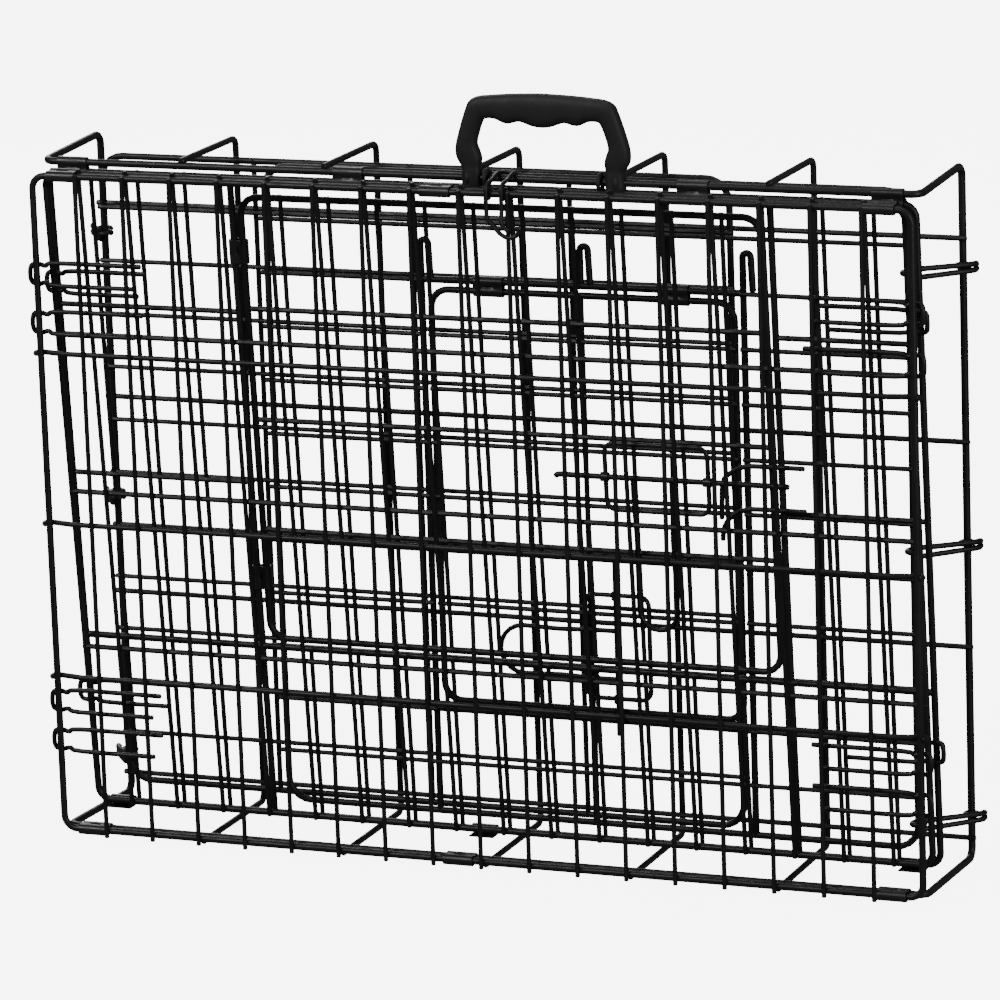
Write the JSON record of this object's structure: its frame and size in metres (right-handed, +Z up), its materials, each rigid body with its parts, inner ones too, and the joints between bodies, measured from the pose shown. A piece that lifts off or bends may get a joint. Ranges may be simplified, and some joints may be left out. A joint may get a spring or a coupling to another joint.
{
  "type": "wire dog crate",
  "caption": "Folding black wire dog crate, folded flat and standing on its long edge, with a plastic carry handle, hinged panels, two doors, slide bolts and a closing hook.",
  "frame": {"origin": "under the middle wire of the tray's lower lip, on the surface that the folded crate stands on", "axes": "+X along the crate's length, +Z up, -Y towards the plain side that is the nearest layer"},
  "size_m": [0.772, 0.1437, 0.6492],
  "materials": {
    "black_enamel": "satin black electro-coated wire",
    "clip_steel": "semi-gloss black coated sheet steel",
    "handle_plastic": "moulded charcoal-black plastic, fine satin grain"
  },
  "bodies": {
    "tray": {"tray_floor_grid": "black_enamel", "tray_upper_lip": "black_enamel", "tray_lower_lip": "black_enamel", "lower_hinge_clip_left": "clip_steel", "lower_hinge_clip_middle": "clip_steel", "lower_hinge_clip_right": "clip_steel", "upper_hinge_clip_1": "clip_steel", "upper_hinge_clip_2": "clip_steel", "upper_hinge_clip_3": "clip_steel", "upper_hinge_clip_4": "clip_steel", "left_end_link_1": "black_enamel", "left_end_link_2": "black_enamel", "left_end_link_3": "black_enamel", "right_end_link_1": "black_enamel", "right_end_link_2": "black_enamel", "right_end_link_3": "black_enamel"},
    "left_end": {"left_end_panel": "black_enamel"},
    "right_end": {"right_end_panel": "black_enamel", "end_door_hinge_clip_1": "clip_steel", "end_door_hinge_clip_2": "clip_steel"},
    "end_door": {"end_door": "black_enamel", "end_door_bolt_guide": "clip_steel"},
    "end_bolt": {"end_door_bolt": "black_enamel"},
    "door_side": {"door_side_panel": "black_enamel", "open_hinge_clip_left": "clip_steel", "open_hinge_clip_middle": "clip_steel", "open_hinge_clip_right": "clip_steel", "side_door_hinge_clip_1": "clip_steel", "side_door_hinge_clip_2": "clip_steel", "door_side_catch_upper_left": "black_enamel", "door_side_catch_lower_left": "black_enamel", "door_side_catch_upper_right": "black_enamel", "door_side_catch_lower_right": "black_enamel"},
    "side_door": {"side_door": "black_enamel", "side_door_bolt_guide": "clip_steel"},
    "side_bolt": {"side_door_bolt": "black_enamel"},
    "plain_side": {"plain_side_panel": "black_enamel", "roof_panel": "black_enamel", "roof_hinge_clip_left": "clip_steel", "roof_hinge_clip_middle": "clip_steel", "roof_hinge_clip_right": "clip_steel", "plain_side_catch_upper_outer_left": "black_enamel", "plain_side_catch_upper_inner_left": "black_enamel", "plain_side_catch_lower_inner_left": "black_enamel", "plain_side_catch_lower_outer_left": "black_enamel", "plain_side_catch_upper_outer_right": "black_enamel", "plain_side_catch_upper_inner_right": "black_enamel", "plain_side_catch_lower_inner_right": "black_enamel", "plain_side_catch_lower_outer_right": "black_enamel"},
    "handle": {"carry_handle": "handle_plastic"},
    "closing_hook": {"closing_hook": "black_enamel"}
  },
  "joints": [
    {"name": "plain_side_fold", "type": "hinge", "parent": "tray", "child": "plain_side", "pos_m": [0, -0.06525, 0.00675], "axis": [1, 0, 0], "range_deg": [0, 90]},
    {"name": "door_side_fold", "type": "hinge", "parent": "tray", "child": "door_side", "pos_m": [0, -0.041, 0.56525], "axis": [1, 0, 0], "range_deg": [0, 1]},
    {"name": "left_end_fold", "type": "hinge", "parent": "tray", "child": "left_end", "pos_m": [-0.37, 0.05, 0.29], "axis": [0, 0, -1], "range_deg": [0, 1]},
    {"name": "right_end_fold", "type": "hinge", "parent": "tray", "child": "right_end", "pos_m": [0.345, 0.03, 0.29], "axis": [0, 0, 1], "range_deg": [0, 1]},
    {"name": "end_door_swing", "type": "hinge", "parent": "right_end", "child": "end_door", "pos_m": [0.065, 0.03, 0.46467], "axis": [-1, 0, 0], "range_deg": [0, 1.5]},
    {"name": "end_bolt_slide", "type": "slide", "parent": "end_door", "child": "end_bolt", "axis": [0, 0, 1], "range_m": [0, 0.018]},
    {"name": "side_door_swing", "type": "hinge", "parent": "door_side", "child": "side_door", "pos_m": [-0.20367, -0.023, 0.29063], "axis": [0, -0.0654, 0.9979], "range_deg": [0, 0.15]},
    {"name": "side_bolt_slide", "type": "slide", "parent": "side_door", "child": "side_bolt", "axis": [-1, 0, 0], "range_m": [0, 0.018]},
    {"name": "handle_swing", "type": "hinge", "parent": "tray", "child": "handle", "pos_m": [0.0635, -0.041, 0.57325], "axis": [1, 0, 0], "range_deg": [-45, 74]},
    {"name": "closing_hook_swing", "type": "hinge", "parent": "plain_side", "child": "closing_hook", "pos_m": [0.031, -0.06525, 0.56525], "axis": [1, 0, 0], "range_deg": [0, 55]}
  ]
}
